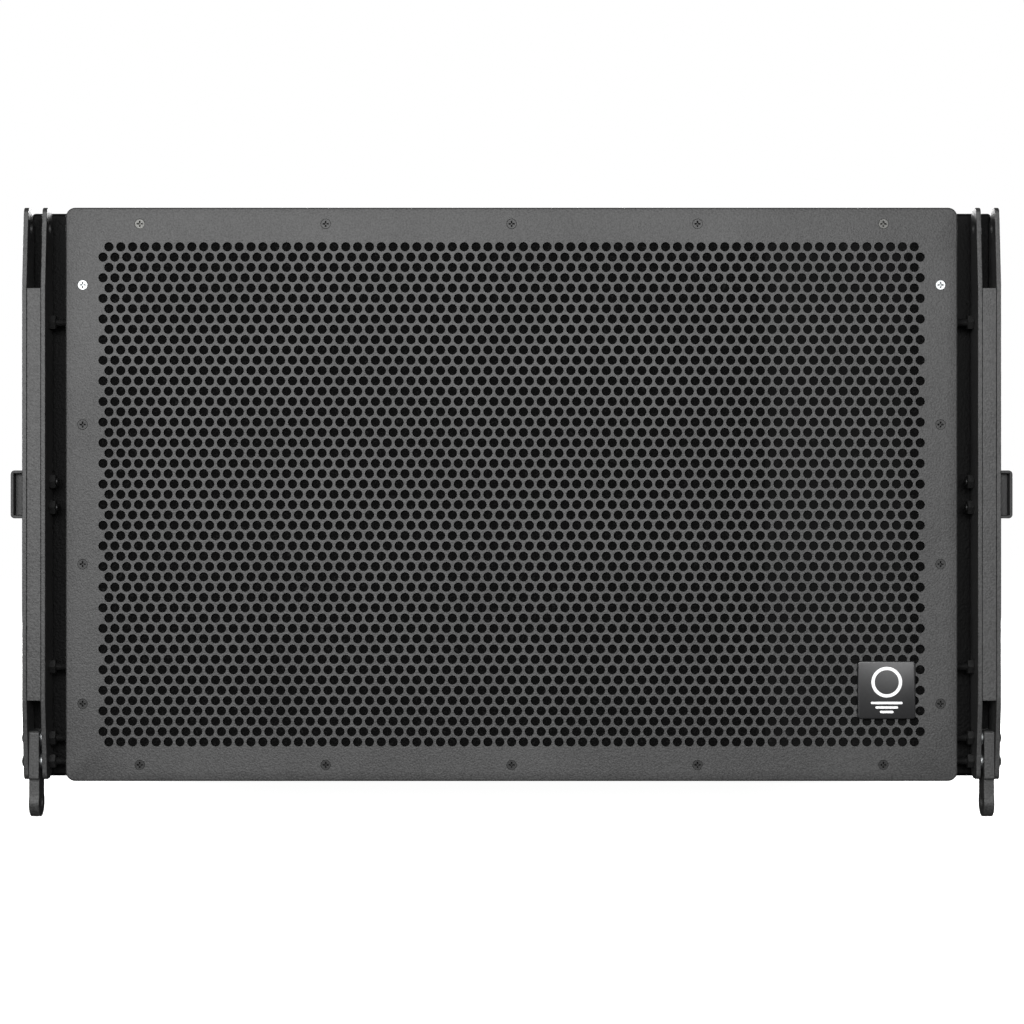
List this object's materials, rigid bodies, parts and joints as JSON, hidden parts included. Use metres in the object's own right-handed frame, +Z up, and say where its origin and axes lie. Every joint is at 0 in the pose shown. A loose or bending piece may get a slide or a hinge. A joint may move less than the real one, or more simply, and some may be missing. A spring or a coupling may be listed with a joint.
{
  "type": "line array speaker",
  "caption": "Wide flyable loudspeaker box with a perforated steel front, link uprights with tongues and ears at its corners, and a carry rail along each side",
  "frame": {"origin": "centre of the object's footprint, at the lowest points of the four link tongues", "axes": "+Z up, the grille faces -Y, +X to the right seen from the front"},
  "size_m": [0.7864, 0.563, 0.4661],
  "materials": {
    "cabinet_paint": "plywood with fine-textured black protective paint",
    "bare_plywood": "unfinished birch plywood inside the box",
    "grille_steel": "perforated steel, satin charcoal powder coat with a fine orange-peel texture",
    "foam": "black open-cell acoustic foam",
    "link_steel": "black powder-coated structural steel",
    "rail_steel": "black powder-coated steel channel",
    "black_screw": "black oxide steel fasteners",
    "bright_screw": "zinc-plated steel fasteners",
    "badge": "satin dark grey moulded plate",
    "wadding": "polyester damping wadding",
    "cast_basket": "black-painted die-cast aluminium",
    "ferrite": "sintered ferrite magnet",
    "motor_steel": "zinc-plated mild steel",
    "coil": "copper-clad winding on a composite former",
    "cone_paper": "pressed black paper pulp",
    "dust_cap": "doped black cloth",
    "surround": "doped pleated cloth",
    "spider": "resin-treated corrugated cloth",
    "gasket": "closed-cell gasket",
    "horn_plastic": "moulded satin black plastic",
    "port_plastic": "moulded black plastic",
    "driver_cover": "moulded black cover",
    "diaphragm": "formed metal diaphragm",
    "cup_plastic": "textured moulded black plastic",
    "pin_steel": "bright plated steel",
    "pin_button": "red anodised button",
    "spring": "spring steel wire",
    "input_panel": "black powder-coated steel panel",
    "socket": "glass-filled black plastic",
    "circuit": "circuit board with coils and capacitors"
  },
  "bodies": {
    "cabinet": {"top_board": "cabinet_paint", "bottom_board": "cabinet_paint", "side_board_left": "cabinet_paint", "side_board_right": "cabinet_paint", "nose_cheeks": "cabinet_paint", "shoulder_boards": "cabinet_paint", "rear_board": "cabinet_paint", "baffle": "bare_plywood", "window_brace": "bare_plywood", "handle_cup_left": "cup_plastic", "handle_cup_right": "cup_plastic", "acoustic_lining": "wadding", "grille_panel": "grille_steel", "grille_foam": "foam", "grille_screws": "black_screw", "badge": "badge", "lf_basket": "cast_basket", "lf_gasket": "gasket", "lf_top_plate": "motor_steel", "lf_magnet": "ferrite", "lf_pole_piece": "motor_steel", "lf_spider": "spider", "lf_surround": "surround", "baffle_screws": "black_screw", "waveguide": "horn_plastic", "hf_pole_pieces": "motor_steel", "hf_magnets": "ferrite", "hf_top_plates": "motor_steel", "hf_covers": "driver_cover", "port_tubes": "port_plastic", "upright_front_left": "link_steel", "upright_front_right": "link_steel", "upright_rear_left": "link_steel", "upright_rear_right": "link_steel", "link_tongues": "link_steel", "tongue_bolts": "black_screw", "tongue_shims": "bright_screw", "frame_studs": "black_screw", "frame_nuts": "black_screw", "threaded_inserts": "bright_screw", "rail_left": "rail_steel", "rail_right": "rail_steel", "rail_spacers": "cup_plastic", "rail_bolts": "black_screw", "input_plate": "input_panel", "speaker_socket_in": "socket", "speaker_socket_link": "socket", "input_screws": "black_screw", "crossover_board": "circuit"},
    "low_driver_cone": {"lf_voice_coil": "coil", "lf_cone": "cone_paper", "lf_dust_cap": "dust_cap"},
    "hf_dome_lower": {"hf_diaphragm_lower": "diaphragm"},
    "hf_dome_upper": {"hf_diaphragm_upper": "diaphragm"},
    "lock_pin_right": {"pin_right": "pin_steel", "pin_spring_right": "spring"},
    "lock_pin_left": {"pin_left": "pin_steel", "pin_spring_left": "spring"},
    "lock_button_right": {"pin_button_right": "pin_button"},
    "lock_button_left": {"pin_button_left": "pin_button"}
  },
  "joints": [
    {"name": "cone_travel", "type": "slide", "parent": "cabinet", "child": "low_driver_cone", "axis": [0, -1, 0], "range_m": [-0.008, 0.008], "stiffness_N_per_m": 6000, "deforming": ["lf_spider", "lf_surround"]},
    {"name": "hf_travel_lower", "type": "slide", "parent": "cabinet", "child": "hf_dome_lower", "axis": [0, -1, 0], "range_m": [-0.0003, 0.0003], "stiffness_N_per_m": 8000},
    {"name": "hf_travel_upper", "type": "slide", "parent": "cabinet", "child": "hf_dome_upper", "axis": [0, -1, 0], "range_m": [-0.0003, 0.0003], "stiffness_N_per_m": 8000},
    {"name": "pin_pull_right", "type": "slide", "parent": "cabinet", "child": "lock_pin_right", "axis": [1, 0, 0], "range_m": [0, 0.03]},
    {"name": "pin_pull_left", "type": "slide", "parent": "cabinet", "child": "lock_pin_left", "axis": [-1, 0, 0], "range_m": [0, 0.03]},
    {"name": "button_press_right", "type": "slide", "parent": "lock_pin_right", "child": "lock_button_right", "axis": [-1, 0, 0], "range_m": [0, 0.003], "stiffness_N_per_m": 900, "deforming": ["pin_spring_right"]},
    {"name": "button_press_left", "type": "slide", "parent": "lock_pin_left", "child": "lock_button_left", "axis": [1, 0, 0], "range_m": [0, 0.003], "stiffness_N_per_m": 900, "deforming": ["pin_spring_left"]}
  ]
}
